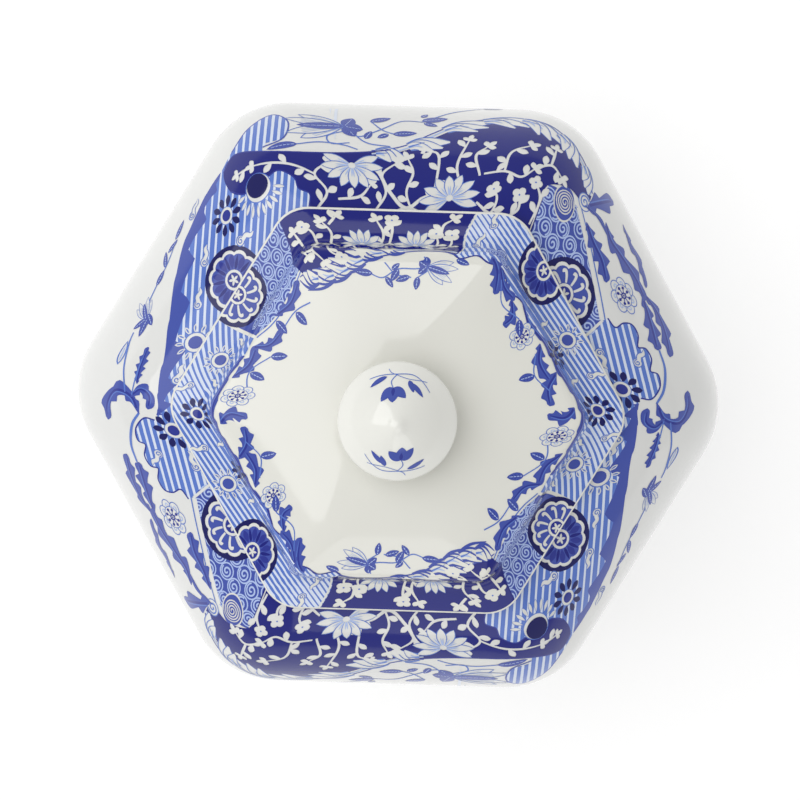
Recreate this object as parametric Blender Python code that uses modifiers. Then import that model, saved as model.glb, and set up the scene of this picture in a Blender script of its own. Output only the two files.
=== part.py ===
"""Lidded hexagonal sugar bowl: a slip-cast bowl, its lift-off lid and the lid's luted knob.

Metres, +Z up. The origin is the centre of the foot ring's resting face. Two of the six flat sides face
+Y and -Y, so two of the corners point along +X and -X. Every horizontal section is a rounded hexagon,
given by its apothem (centre to flat side) and the radius of its corners; a corner radius equal to the
apothem makes it a circle.
"""

import math

import bmesh
import bpy
from mathutils import Vector

# Bowl: overall form, outside.
WIDEST_HALF = 0.0583  # apothem at the widest level, half the size across flats
WIDEST_CORNER = 0.0184
WIDEST_Z = 0.048
SHOULDER_RISE = 0.031  # from the widest level to the ledge that carries the lid
FLANK_OVERRUN = 0.013  # how far below the foot's top the flank's ellipse would close
WALL = 0.0035

# Bowl: foot and floor.
FOOT_HALF = 0.0375
FOOT_CORNER = 0.011
FOOT_HEIGHT = 0.004
FOOT_FACE = 0.003  # width of the flat face that the bowl stands on
FOOT_EDGE = 0.0006
FOOT_COVE = 0.001  # step from the foot out to the flank
FOOT_RECESS = 0.0025
BASE_THICKNESS = 0.004
FLOOR_FILLET = 0.006

# Bowl: mouth.
MOUTH_HALF = 0.0302
MOUTH_CORNER = 0.008
LIP_RADIUS = 0.0016

# Lid: brim and flange.
SEAT_WIDTH = 0.0091  # how far the lid's rim reaches out beyond the mouth
LID_CORNER = 0.0075
LID_WALL = 0.0028
RIM_RADIUS = 0.001
BRIM_RISE = 0.0017  # from the rim's top to the foot of the cove
SEAT_GAP = 0.0003  # glaze to glaze, where the brim rests on the shoulder
RIM_GAP = 0.0005
FLANGE_CLEARANCE = 0.0008
FLANGE_WIDTH = 0.0026
FLANGE_DEPTH = 0.0085  # below the ledge

# Lid: crown.
BRIM_WIDTH = 0.0068  # from the lid's rim in to the crown's wall
CROWN_CORNER = 0.0042
CROWN_WALL_RISE = 0.0042
CROWN_LEAN = 0.0005
COVE_RADIUS = 0.0024
CROWN_SHOULDER = 0.0027
DOME_RISE = 0.0034
SEAT_MARGIN = 0.0004  # of the flat disc on the dome around the knob's foot

# Knob.
KNOB_RADIUS = 0.0114
KNOB_EDGE_RADIUS = 0.0106  # where the pointed cap meets the knob's side
KNOB_HEIGHT = 0.0154
KNOB_SIDE_Z = 0.0054
KNOB_EDGE_Z = 0.0074
NECK_RADIUS = 0.0058
NECK_Z = 0.0020
KNOB_FOOT_RADIUS = 0.0070
SLIP_GAP = 0.0003  # the film of slip that joins the knob to the lid

# Faceting.
CORNER_STEPS = 4
SIDE_STEPS = 3
CURVE_STEPS = 8
SMALL_STEPS = 3
KNOB_STEPS = 32
SMOOTH_ANGLE = math.radians(35)

LEDGE_Z = WIDEST_Z + SHOULDER_RISE
SHOULDER_RUN = WIDEST_HALF - MOUTH_HALF
LID_HALF = MOUTH_HALF + SEAT_WIDTH
CROWN_HALF = LID_HALF - BRIM_WIDTH
SEAT_RADIUS = KNOB_FOOT_RADIUS + SEAT_MARGIN
FLANK_START_Z = FOOT_HEIGHT + FOOT_COVE
FLANK_DEPTH = WIDEST_Z - FLANK_START_Z + FLANK_OVERRUN
FLOOR_Z = FOOT_RECESS + BASE_THICKNESS
SIXTH = math.pi / 3
TAN_HALF_SIDE = math.tan(SIXTH / 2)

WHITE_GLAZE = (0.84, 0.85, 0.80, 1.0)
KNOB_GLAZE = (0.86, 0.86, 0.83, 1.0)


def ceramic(name, colour):
    """Glossy white glaze over earthenware."""
    material = bpy.data.materials.new(name)
    material.use_nodes = True
    shader = material.node_tree.nodes["Principled BSDF"]
    shader.inputs["Base Color"].default_value = colour
    shader.inputs["Roughness"].default_value = 0.12
    shader.inputs["Metallic"].default_value = 0.0
    material.diffuse_color = colour
    return material


def mix(a, b, share):
    return a + (b - a) * share


def arc(centre, radius, start, end, steps):
    """Points (apothem, z) on a circular arc, from start to end in degrees, both included."""
    points = []
    for i in range(steps + 1):
        angle = math.radians(mix(start, end, i / steps))
        points.append((centre[0] + radius * math.cos(angle), centre[1] + radius * math.sin(angle)))
    return points


def bezier(p0, p1, p2, steps):
    """Points on a quadratic curve that leaves p0 towards p1 and reaches p2."""
    points = []
    for i in range(steps + 1):
        t = i / steps
        weights = ((1 - t) ** 2, 2 * t * (1 - t), t * t)
        points.append(tuple(sum(w * p[k] for w, p in zip(weights, (p0, p1, p2))) for k in range(2)))
    return points


def section(apothem, corner, z):
    """The points of one rounded hexagon, anticlockwise, corner by corner."""
    points = []
    inset = apothem - corner
    half_side = inset * TAN_HALF_SIDE
    for side in range(6):
        turn = SIXTH * side + math.pi / 2
        normal = Vector((math.cos(turn), math.sin(turn), 0))
        along = Vector((-math.sin(turn), math.cos(turn), 0))
        for i in range(SIDE_STEPS):
            points.append(normal * apothem + along * mix(-half_side, half_side, i / SIDE_STEPS))
        centre = normal * inset + along * half_side
        for i in range(CORNER_STEPS):
            angle = turn + SIXTH * i / CORNER_STEPS
            points.append(centre + corner * Vector((math.cos(angle), math.sin(angle), 0)))
    return [point + Vector((0, 0, z)) for point in points]


def loft(name, stations, material):
    """A closed skin through the stations (apothem, corner, z), with a flat cap at each end."""
    mesh = bmesh.new()
    rings = [[mesh.verts.new(point) for point in section(*station)] for station in stations]
    for lower, upper in zip(rings, rings[1:]):
        for i in range(len(lower)):
            j = (i + 1) % len(lower)
            mesh.faces.new((lower[i], lower[j], upper[j], upper[i]))
    mesh.faces.new(rings[0])
    mesh.faces.new(rings[-1])
    bmesh.ops.recalc_face_normals(mesh, faces=mesh.faces)
    data = bpy.data.meshes.new(name)
    mesh.to_mesh(data)
    mesh.free()
    data.materials.append(material)
    data.shade_smooth()
    data.set_sharp_from_angle(angle=SMOOTH_ANGLE)
    return bpy.data.objects.new(name, data)


def shoulder(angle, offset=0.0):
    """A station on the shoulder, 0 degrees at the widest level and 90 on the ledge, moved out by offset."""
    cosine, sine = math.cos(math.radians(angle)), math.sin(math.radians(angle))
    out, up = cosine / SHOULDER_RUN, sine / SHOULDER_RISE
    size = math.hypot(out, up)
    out, up = out / size, up / size
    apothem = MOUTH_HALF + SHOULDER_RUN * cosine + offset * out
    corner = mix(MOUTH_CORNER, WIDEST_CORNER, cosine) + offset * out
    return apothem, corner, WIDEST_Z + SHOULDER_RISE * sine + offset * up


def shoulder_angle(apothem):
    """The angle at which the shoulder's outside has this apothem."""
    return math.degrees(math.acos((apothem - MOUTH_HALF) / SHOULDER_RUN))


def flank_curve(start_z, inset):
    """Stations from start_z up to the widest level, on the flank's ellipse drawn in by inset."""
    drop = math.sqrt(1 - ((WIDEST_Z - FLANK_START_Z) / FLANK_DEPTH) ** 2)
    run = (WIDEST_HALF - FOOT_HALF - FOOT_COVE) / (1 - drop)
    stations = []
    for i in range(CURVE_STEPS + 1):
        z = mix(start_z, WIDEST_Z, math.sin(i / CURVE_STEPS * math.pi / 2))
        reach = math.sqrt(1 - ((WIDEST_Z - z) / (FLANK_DEPTH - inset)) ** 2)
        apothem = WIDEST_HALF - run + (run - inset) * reach
        share = (apothem + inset - FOOT_HALF) / (WIDEST_HALF - FOOT_HALF)
        stations.append((apothem, mix(FOOT_CORNER, WIDEST_CORNER, share) - inset, z))
    return stations


def foot_stations():
    """From the recess under the bowl, round the foot ring, to just below the flank."""
    inner = FOOT_HALF - FOOT_FACE - 2 * FOOT_EDGE
    outline = [
        (inner, FOOT_RECESS),
        (inner, FOOT_EDGE),
        (inner + FOOT_EDGE, 0.0),
        (FOOT_HALF - FOOT_EDGE, 0.0),
        (FOOT_HALF, FOOT_EDGE),
        (FOOT_HALF, FOOT_HEIGHT),
    ]
    return [(apothem, FOOT_CORNER - (FOOT_HALF - apothem), z) for apothem, z in outline]


def lip_stations():
    """From the shoulder over the rounded lip and down the mouth's short wall."""
    top_z = shoulder(shoulder_angle(MOUTH_HALF + LIP_RADIUS))[2]
    outline = arc((MOUTH_HALF + LIP_RADIUS, top_z - LIP_RADIUS), LIP_RADIUS, 90, 180, SMALL_STEPS)
    under_z = LEDGE_Z - WALL
    outline.append((MOUTH_HALF, mix(under_z, top_z - LIP_RADIUS, 0.5)))
    outline.append((MOUTH_HALF + LIP_RADIUS / 4, under_z + LIP_RADIUS / 8))
    return [(apothem, MOUTH_CORNER + (apothem - MOUTH_HALF), z) for apothem, z in outline]


def floor_stations():
    """From the inside of the flank, over a fillet, to the flat floor."""
    flank = flank_curve(FLOOR_Z + FLOOR_FILLET / 2, WALL)
    start, above = flank[0], flank[1]
    slope = (above[0] - start[0]) / (above[2] - start[2])
    corner = (start[0] - slope * FLOOR_FILLET / 2, FLOOR_Z)
    end = (corner[0] - FLOOR_FILLET, FLOOR_Z)
    outline = bezier((start[0], start[2]), corner, end, SMALL_STEPS)[1:]
    return [(apothem, start[1] - (start[0] - apothem) / 2, z) for apothem, z in outline]


def make_bowl(material):
    lip_angle = shoulder_angle(MOUTH_HALF + LIP_RADIUS)
    outside = [shoulder(lip_angle * i / (CURVE_STEPS + 2)) for i in range(1, CURVE_STEPS + 2)]
    inside = [shoulder(mix(lip_angle - 1, 0, i / CURVE_STEPS), -WALL) for i in range(CURVE_STEPS)]
    stations = foot_stations()
    stations += flank_curve(FLANK_START_Z, 0.0)
    stations += outside
    stations += lip_stations()
    stations += inside
    stations += reversed(flank_curve(FLOOR_Z + FLOOR_FILLET / 2, WALL))
    stations += floor_stations()
    return loft("bowl", stations, material)


def rim_base():
    """The lowest height of the lid's rim, a gap above the shoulder."""
    return shoulder(shoulder_angle(LID_HALF - RIM_RADIUS))[2] + RIM_GAP


def crown_levels():
    """Heights where the brim ends, the crown's wall ends and the dome starts, and of the knob's seat."""
    brim_z = rim_base() + 2 * RIM_RADIUS + BRIM_RISE
    wall_z = brim_z + COVE_RADIUS / 2 + CROWN_WALL_RISE
    dome_z = wall_z + CROWN_SHOULDER / 2
    return brim_z, wall_z, dome_z, dome_z + DOME_RISE


def dome_corner(apothem):
    """The dome's ridges fade from the crown's corners to a plain circle under the knob."""
    start = CROWN_HALF - CROWN_SHOULDER
    share = max(0.0, (start - apothem) / (start - SEAT_RADIUS)) ** 1.6
    return mix(CROWN_CORNER, apothem, min(1.0, share))


def dome_outline(inset):
    """(apothem, z) from the crown's shoulder to the knob's seat, drawn in by inset."""
    _, _, dome_z, seat_z = crown_levels()
    start = CROWN_HALF - CROWN_LEAN - CROWN_SHOULDER - inset / 2
    control = (mix(start, SEAT_RADIUS, 0.55), seat_z - inset)
    return bezier((start, dome_z - inset), control, (SEAT_RADIUS, seat_z - inset), CURVE_STEPS)


def brim_stations():
    """Over the lid's rim, up the brim, round the cove and up the crown's wall to its shoulder."""
    base_z = rim_base()
    brim_z, wall_z, dome_z, _ = crown_levels()
    wall_half = CROWN_HALF - CROWN_LEAN
    cove_half = CROWN_HALF + COVE_RADIUS
    edge = (LID_HALF - RIM_RADIUS, base_z + RIM_RADIUS)
    outline = arc(edge, RIM_RADIUS, -90, 70, 2 * SMALL_STEPS)
    middle = (mix(outline[-1][0], cove_half, 0.5), mix(outline[-1][1], brim_z, 0.4))
    outline += [middle]
    outline += bezier((cove_half, brim_z - COVE_RADIUS / 4), (CROWN_HALF, brim_z),
                      (CROWN_HALF, brim_z + COVE_RADIUS), SMALL_STEPS)
    outline += bezier((wall_half, wall_z - CROWN_SHOULDER / 2), (wall_half, dome_z - CROWN_SHOULDER / 4),
                      (wall_half - CROWN_SHOULDER, dome_z), SMALL_STEPS)[:-1]
    stations = []
    for apothem, z in outline:
        share = (LID_HALF - apothem) / (LID_HALF - CROWN_HALF)
        corner = mix(LID_CORNER, CROWN_CORNER, min(1.0, max(0.0, share)))
        stations.append((apothem, corner, z))
    return stations


def flange_stations():
    """Down the inside of the crown, round the locating flange and up to the brim's underside."""
    brim_z, wall_z, _, _ = crown_levels()
    outer = MOUTH_HALF - FLANGE_CLEARANCE
    inner = outer - FLANGE_WIDTH
    outer_corner = MOUTH_CORNER - FLANGE_CLEARANCE
    bottom_z = LEDGE_Z - FLANGE_DEPTH
    middle = ((inner + outer) / 2, bottom_z + FLANGE_WIDTH / 2)
    outline = [(mix(inner, CROWN_HALF - LID_WALL, 0.6), wall_z - LID_WALL), (inner, brim_z - LID_WALL / 2)]
    outline += arc(middle, FLANGE_WIDTH / 2, 180, 360, 2 * SMALL_STEPS)
    outline += [(outer, LEDGE_Z - LIP_RADIUS), (outer + LIP_RADIUS / 2, LEDGE_Z + SEAT_GAP)]
    return [(apothem, outer_corner - (outer - apothem), z) for apothem, z in outline]


def make_lid(material):
    lip_angle = shoulder_angle(MOUTH_HALF + LIP_RADIUS)
    rim_angle = shoulder_angle(LID_HALF - 2 * RIM_RADIUS)
    inner_dome = list(reversed(dome_outline(LID_WALL)))
    stations = [(apothem, dome_corner(apothem), z) for apothem, z in inner_dome]
    stations += flange_stations()
    for i in range(SMALL_STEPS + 1):
        share = i / SMALL_STEPS
        apothem, corner, z = shoulder(mix(lip_angle, rim_angle, share), mix(SEAT_GAP, RIM_GAP, share))
        stations.append((apothem, mix(corner, LID_CORNER, share), z))
    stations += brim_stations()
    stations += [(apothem, dome_corner(apothem), z) for apothem, z in dome_outline(0.0)]
    return loft("lid", stations, material)


def knob_profile():
    """(radius, height above the seat) from the pointed tip down the outside to the flat foot."""
    tip = bezier((0.0, KNOB_HEIGHT), (KNOB_RADIUS * 0.09, KNOB_HEIGHT),
                 (KNOB_RADIUS * 0.17, KNOB_HEIGHT * 0.94), SMALL_STEPS)
    cap = bezier(tip[-1], (KNOB_RADIUS * 0.62, KNOB_HEIGHT * 0.78), (KNOB_EDGE_RADIUS, KNOB_EDGE_Z), 6)
    side = bezier(cap[-1], (KNOB_RADIUS * 1.03, mix(KNOB_SIDE_Z, KNOB_EDGE_Z, 0.5)),
                  (KNOB_RADIUS, KNOB_SIDE_Z), SMALL_STEPS)
    under = bezier(side[-1], (KNOB_RADIUS * 0.97, mix(NECK_Z, KNOB_SIDE_Z, 0.35)),
                   (NECK_RADIUS, NECK_Z), 2 * SMALL_STEPS)
    foot = bezier(under[-1], (NECK_RADIUS, 0.0), (KNOB_FOOT_RADIUS, 0.0), SMALL_STEPS)
    return tip + cap[1:] + side[1:] + under[1:] + foot[1:] + [(0.0, 0.0)]


def make_knob(material):
    """Turned profile, on the lid's axis."""
    data = bpy.data.meshes.new("lid_knob")
    points = [(radius, 0.0, z) for radius, z in knob_profile()]
    data.from_pydata(points, [(i, i + 1) for i in range(len(points) - 1)], [])
    data.materials.append(material)
    knob = bpy.data.objects.new("lid_knob", data)
    knob.location.z = crown_levels()[3] + SLIP_GAP
    turn = knob.modifiers.new("turn", "SCREW")
    turn.steps = turn.render_steps = KNOB_STEPS
    turn.use_merge_vertices = True
    turn.merge_threshold = 0.00001
    turn.use_smooth_shade = True
    return knob


def main():
    for leftover in list(bpy.data.objects):
        bpy.data.objects.remove(leftover)
    collection = bpy.data.collections.new("sugar_bowl")
    bpy.context.scene.collection.children.link(collection)
    glaze = ceramic("white_glaze", WHITE_GLAZE)
    pieces = [make_bowl(glaze), make_lid(glaze), make_knob(ceramic("knob_glaze", KNOB_GLAZE))]
    for piece in pieces:
        collection.objects.link(piece)


main()
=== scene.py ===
"""Looks for the hexagonal sugar bowl: glazed white shells, and a blue printed border drawn in code.

The bowl, lid and knob are built again from the CAD's own profiles with a fine mesh. The print is a set of
flat blue motifs, drawn by functions on the unrolled surface, cut into small triangles and laid a few
hundredths of a millimetre over the glaze, as a transfer is.
"""

import math

import bmesh
import bpy
import numpy as np
from mathutils import Matrix, Vector
from mathutils.geometry import delaunay_2d_cdt


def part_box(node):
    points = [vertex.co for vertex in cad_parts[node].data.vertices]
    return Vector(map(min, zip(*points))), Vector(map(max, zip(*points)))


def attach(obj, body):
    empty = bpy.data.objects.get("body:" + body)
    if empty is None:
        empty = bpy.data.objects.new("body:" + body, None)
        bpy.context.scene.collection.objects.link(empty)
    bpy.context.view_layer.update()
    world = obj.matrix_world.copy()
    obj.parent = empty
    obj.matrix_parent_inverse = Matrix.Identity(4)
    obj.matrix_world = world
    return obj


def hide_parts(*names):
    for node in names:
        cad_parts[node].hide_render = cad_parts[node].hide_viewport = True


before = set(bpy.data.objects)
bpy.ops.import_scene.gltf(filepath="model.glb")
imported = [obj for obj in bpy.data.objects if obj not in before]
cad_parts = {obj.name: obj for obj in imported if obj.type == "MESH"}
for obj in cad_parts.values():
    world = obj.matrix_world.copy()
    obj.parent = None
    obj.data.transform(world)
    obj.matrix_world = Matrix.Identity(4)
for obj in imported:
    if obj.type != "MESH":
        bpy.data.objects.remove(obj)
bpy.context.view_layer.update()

MM = 0.001
SIXTH = math.pi / 3
T = math.tan(SIXTH / 2)

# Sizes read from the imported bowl, lid and knob, in millimetres.
WIDEST_HALF = (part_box("bowl")[1] / MM).y
LID_HALF = (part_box("lid")[1] / MM).y
KNOB_BASE_Z = (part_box("lid_knob")[0] / MM).z

# The rest of the CAD's profile, in millimetres.
WIDEST_CORNER = 18.4
WIDEST_Z = 48.0
SHOULDER_RISE = 31.0
WALL = 3.5
FOOT_HALF = 37.5
FOOT_CORNER = 11.0
FOOT_HEIGHT = 4.0
FOOT_FACE = 3.0
FOOT_EDGE = 0.6
FOOT_COVE = 1.0
FLANK_START_Z = 5.0
FLANK_DEPTH = 56.0
FOOT_RECESS = 2.5
FLOOR_Z = 6.5
FLOOR_FILLET = 6.0
MOUTH_HALF = 30.2
MOUTH_CORNER = 8.0
LIP_RADIUS = 1.6
LID_CORNER = 7.5
LID_WALL = 2.8
RIM_RADIUS = 1.0
BRIM_RISE = 1.7
SEAT_GAP = 0.3
RIM_GAP = 0.5
FLANGE_CLEARANCE = 0.8
FLANGE_WIDTH = 2.6
FLANGE_DEPTH = 8.5
BRIM_WIDTH = 6.8
CROWN_CORNER = 4.2
CROWN_WALL_RISE = 4.2
CROWN_LEAN = 0.5
COVE_RADIUS = 2.4
CROWN_SHOULDER = 2.7
DOME_RISE = 3.4
SEAT_RADIUS = 7.4
KNOB_RADIUS = 11.4
KNOB_EDGE_RADIUS = 10.6
KNOB_HEIGHT = 15.4
KNOB_SIDE_Z = 5.4
KNOB_EDGE_Z = 7.4
NECK_RADIUS = 5.8
NECK_Z = 2.0
KNOB_FOOT_RADIUS = 7.0
KNOB_SOFTENING = 6
SINK = -0.1  # the slip's film closes the gap under the knob

LIFT = 0.05  # of the print off the glaze
LID_PRINT_START = 12  # the first of the lid's outer stations that the print can reach

LEDGE_Z = WIDEST_Z + SHOULDER_RISE
SHOULDER_RUN = WIDEST_HALF - MOUTH_HALF
CROWN_HALF = LID_HALF - BRIM_WIDTH

# The print's stripes bend at this y as seen from above, softly over this length.
STRIPE_BEND_Y = -8
STRIPE_BEND_SOFTNESS = 5

# Tones of the print, as linear colours. What is WHITE is left unprinted.
WHITE, MIST, PALE, LIGHT, MID, DEEP, DARK, INK = range(8)
TONES = {
    "mist": (0.64, 0.70, 0.82),
    "pale": (0.40, 0.50, 0.77),
    "light": (0.095, 0.180, 0.55),
    "mid": (0.050, 0.080, 0.37),
    "deep": (0.022, 0.033, 0.265),
    "dark": (0.006, 0.010, 0.185),
    "ink": (0.003, 0.004, 0.095),
}


# ---------------------------------------------------------------- surfaces

def mix(a, b, share):
    return a + (b - a) * share


def plan_point(t, apothem, corner):
    """(x, y) on a rounded hexagon, t sides clockwise from its corner at 120 degrees."""
    side = np.floor(t)
    reach = (t - side - 0.5) * 2
    straight = (apothem - corner) * T
    distance = np.abs(reach) * (straight + corner * math.pi / 6)
    bend = np.clip(distance - straight, 0, None) / corner
    along = (np.minimum(distance, straight) + corner * np.sin(bend)) * np.sign(reach)
    out = apothem - corner + corner * np.cos(bend)
    angle = math.pi / 2 - SIXTH * side
    return out * np.cos(angle) + along * np.sin(angle), out * np.sin(angle) - along * np.cos(angle)


class Skin:
    """A surface through stations (apothem, corner, z), listed outwards; v is the distance along them."""

    def __init__(self, stations):
        self.apothem, self.corner, self.z = np.array(stations, float).T
        steps = np.hypot(np.diff(self.apothem), np.diff(self.z))
        self.v = np.concatenate([[0], np.cumsum(steps)])
        self.length = self.v[-1]

    def station(self, v):
        return [np.interp(v, self.v, values) for values in (self.apothem, self.corner, self.z)]

    def half_width(self, v):
        apothem, corner, _ = self.station(v)
        return (apothem - corner) * T + corner * math.pi / 6

    def at(self, t, v):
        apothem, corner, z = self.station(v)
        x, y = plan_point(t, apothem, corner)
        return np.stack([x, y, z], axis=-1)

    def normal(self, t, v, reach=0.12):
        """Unit normals, pointing out of the glaze."""
        turn = reach / (2 * self.half_width(v))
        v = np.clip(v, reach, self.length - reach)
        normal = np.cross(self.at(t + turn, v) - self.at(t - turn, v),
                          self.at(t, v + reach) - self.at(t, v - reach))
        return normal / np.linalg.norm(normal, axis=-1, keepdims=True)

    def locate(self, x, y):
        """(t, v) of the point that is seen at (x, y) from above."""
        heading = math.degrees(math.atan2(y, x))
        side = math.floor((120 - heading) / 60)
        angle = math.pi / 2 - SIXTH * side
        out = x * math.cos(angle) + y * math.sin(angle)
        along = x * math.sin(angle) - y * math.cos(angle)
        low, high = 0.0, self.length
        for _ in range(30):
            v = (low + high) / 2
            apothem, corner, _ = self.station(v)
            straight = (apothem - corner) * T
            if abs(along) <= straight:
                beyond = out - apothem
            else:
                beyond = math.hypot(abs(along) - straight, out - apothem + corner) - corner
            low, high = (v, high) if beyond > 0 else (low, v)
        if abs(along) <= straight:
            distance = abs(along)
        else:
            distance = straight + corner * math.atan2(abs(along) - straight, out - apothem + corner)
        return side + 0.5 + math.copysign(distance, along) / (2 * self.half_width(v)), v


# ---------------------------------------------------------------- the CAD's profiles, in fine steps

def arc(centre, radius, start, end, steps):
    angles = np.radians(np.linspace(start, end, steps + 1))
    return [(centre[0] + radius * math.cos(a), centre[1] + radius * math.sin(a)) for a in angles]


def bezier(p0, p1, p2, steps):
    s = np.linspace(0, 1, steps + 1)[:, None]
    points = (1 - s) ** 2 * np.array(p0) + 2 * s * (1 - s) * np.array(p1) + s * s * np.array(p2)
    return [tuple(point) for point in points]


def rounded(outline, radius, steps=4):
    """The same open outline with its corners rounded."""
    points = [outline[0]]
    for before, here, after in zip(outline, outline[1:], outline[2:]):
        a, h, b = (np.array(p, float) for p in (before, here, after))
        cut = min(radius, np.linalg.norm(a - h) * 0.45, np.linalg.norm(b - h) * 0.45)
        points += bezier(h + (a - h) / np.linalg.norm(a - h) * cut, h,
                         h + (b - h) / np.linalg.norm(b - h) * cut, steps)
    return points + [outline[-1]]


def shoulder(angle, offset=0.0):
    """On the bowl's shoulder, 0 degrees at the widest level and 90 on the ledge, moved out by offset."""
    cosine, sine = math.cos(math.radians(angle)), math.sin(math.radians(angle))
    out, up = cosine / SHOULDER_RUN, sine / SHOULDER_RISE
    size = math.hypot(out, up)
    out, up = out / size, up / size
    apothem = MOUTH_HALF + SHOULDER_RUN * cosine + offset * out
    corner = mix(MOUTH_CORNER, WIDEST_CORNER, cosine) + offset * out
    return apothem, corner, WIDEST_Z + SHOULDER_RISE * sine + offset * up


def shoulder_angle(apothem):
    return math.degrees(math.acos((apothem - MOUTH_HALF) / SHOULDER_RUN))


LIP_ANGLE = shoulder_angle(MOUTH_HALF + LIP_RADIUS)


def flank_curve(start_z, inset, steps):
    """From start_z up to the widest level, on the flank's ellipse drawn in by inset."""
    drop = math.sqrt(1 - ((WIDEST_Z - FLANK_START_Z) / FLANK_DEPTH) ** 2)
    run = (WIDEST_HALF - FOOT_HALF - FOOT_COVE) / (1 - drop)
    stations = []
    for i in range(steps + 1):
        z = mix(start_z, WIDEST_Z, math.sin(i / steps * math.pi / 2))
        reach = math.sqrt(1 - ((WIDEST_Z - z) / (FLANK_DEPTH - inset)) ** 2)
        apothem = WIDEST_HALF - run + (run - inset) * reach
        share = (apothem + inset - FOOT_HALF) / (WIDEST_HALF - FOOT_HALF)
        stations.append((apothem, mix(FOOT_CORNER, WIDEST_CORNER, share) - inset, z))
    return stations


def outside_of_bowl():
    """From the foot's top up over the widest level to the lip."""
    return flank_curve(FLANK_START_Z, 0.0, 48) + [shoulder(a) for a in np.linspace(0, LIP_ANGLE, 73)[1:]]


def bowl_stations():
    inner = FOOT_HALF - FOOT_FACE - 2 * FOOT_EDGE
    foot = rounded([(inner - 4, FOOT_RECESS), (inner, FOOT_RECESS), (inner, FOOT_EDGE),
                    (inner + FOOT_EDGE, 0.0), (FOOT_HALF - FOOT_EDGE, 0.0), (FOOT_HALF, FOOT_EDGE),
                    (FOOT_HALF, FOOT_HEIGHT), (FOOT_HALF + FOOT_COVE, FLANK_START_Z)], 0.5)
    stations = [(a, FOOT_CORNER - (FOOT_HALF - a), z) for a, z in foot[:-1]]
    stations += outside_of_bowl()
    top_z = stations[-1][2]
    under_z = LEDGE_Z - WALL
    lip = arc((MOUTH_HALF + LIP_RADIUS, top_z - LIP_RADIUS), LIP_RADIUS, 90, 180, 10)[1:]
    lip += [(MOUTH_HALF, mix(under_z, top_z - LIP_RADIUS, 0.5)),
            (MOUTH_HALF + LIP_RADIUS / 4, under_z + LIP_RADIUS / 8)]
    stations += [(a, MOUTH_CORNER + (a - MOUTH_HALF), z) for a, z in lip]
    stations += [shoulder(a, -WALL) for a in np.linspace(LIP_ANGLE - 1, 0, 41)[:-1]]
    flank = flank_curve(FLOOR_Z + FLOOR_FILLET / 2, WALL, 32)
    stations += reversed(flank)
    start, above = flank[0], flank[1]
    slope = (above[0] - start[0]) / (above[2] - start[2])
    corner = (start[0] - slope * FLOOR_FILLET / 2, FLOOR_Z)
    floor = bezier((start[0], start[2]), corner, (corner[0] - FLOOR_FILLET, FLOOR_Z), 10)[1:]
    return stations + [(a, start[1] - (start[0] - a) / 2, z) for a, z in floor]


def rim_base():
    return shoulder(shoulder_angle(LID_HALF - RIM_RADIUS))[2] + RIM_GAP


def crown_levels():
    """Heights where the brim ends, the crown's wall ends and the dome starts, and of the knob's seat."""
    brim_z = rim_base() + 2 * RIM_RADIUS + BRIM_RISE
    wall_z = brim_z + COVE_RADIUS / 2 + CROWN_WALL_RISE
    dome_z = wall_z + CROWN_SHOULDER / 2
    return brim_z, wall_z, dome_z, dome_z + DOME_RISE


def dome_stations(inset, steps):
    """From the crown's shoulder to the knob's seat, with ridges that fade to a circle."""
    _, _, dome_z, seat_z = crown_levels()
    start = CROWN_HALF - CROWN_LEAN - CROWN_SHOULDER - inset / 2
    control = (mix(start, SEAT_RADIUS, 0.55), seat_z - inset)
    stations = []
    for apothem, z in bezier((start, dome_z - inset), control, (SEAT_RADIUS, seat_z - inset), steps):
        reach = (CROWN_HALF - CROWN_SHOULDER - apothem) / (CROWN_HALF - CROWN_SHOULDER - SEAT_RADIUS)
        stations.append((apothem, mix(CROWN_CORNER, apothem, min(1.0, max(0.0, reach) ** 1.6)), z))
    return stations


def outside_of_lid():
    """From under the rim, over the brim and the crown's wall, to the knob's seat."""
    base_z = rim_base()
    brim_z, wall_z, dome_z, _ = crown_levels()
    wall_half = CROWN_HALF - CROWN_LEAN
    cove_half = CROWN_HALF + COVE_RADIUS
    outline = arc((LID_HALF - RIM_RADIUS, base_z + RIM_RADIUS), RIM_RADIUS, -90, 70, 20)
    crest = outline[-1]
    outline += bezier(crest, (mix(crest[0], cove_half, 0.5), mix(crest[1], brim_z, 0.4)),
                      (cove_half, brim_z - COVE_RADIUS / 4), 12)[1:]
    outline += bezier(outline[-1], (CROWN_HALF, brim_z), (CROWN_HALF, brim_z + COVE_RADIUS), 16)[1:]
    outline += bezier((wall_half, wall_z - CROWN_SHOULDER / 2), (wall_half, dome_z - CROWN_SHOULDER / 4),
                      (wall_half - CROWN_SHOULDER, dome_z), 16)[:-1]
    stations = []
    for apothem, z in outline:
        share = (LID_HALF - apothem) / (LID_HALF - CROWN_HALF)
        stations.append((apothem, mix(LID_CORNER, CROWN_CORNER, min(1.0, max(0.0, share))), z))
    return stations + dome_stations(0.0, 60)


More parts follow.
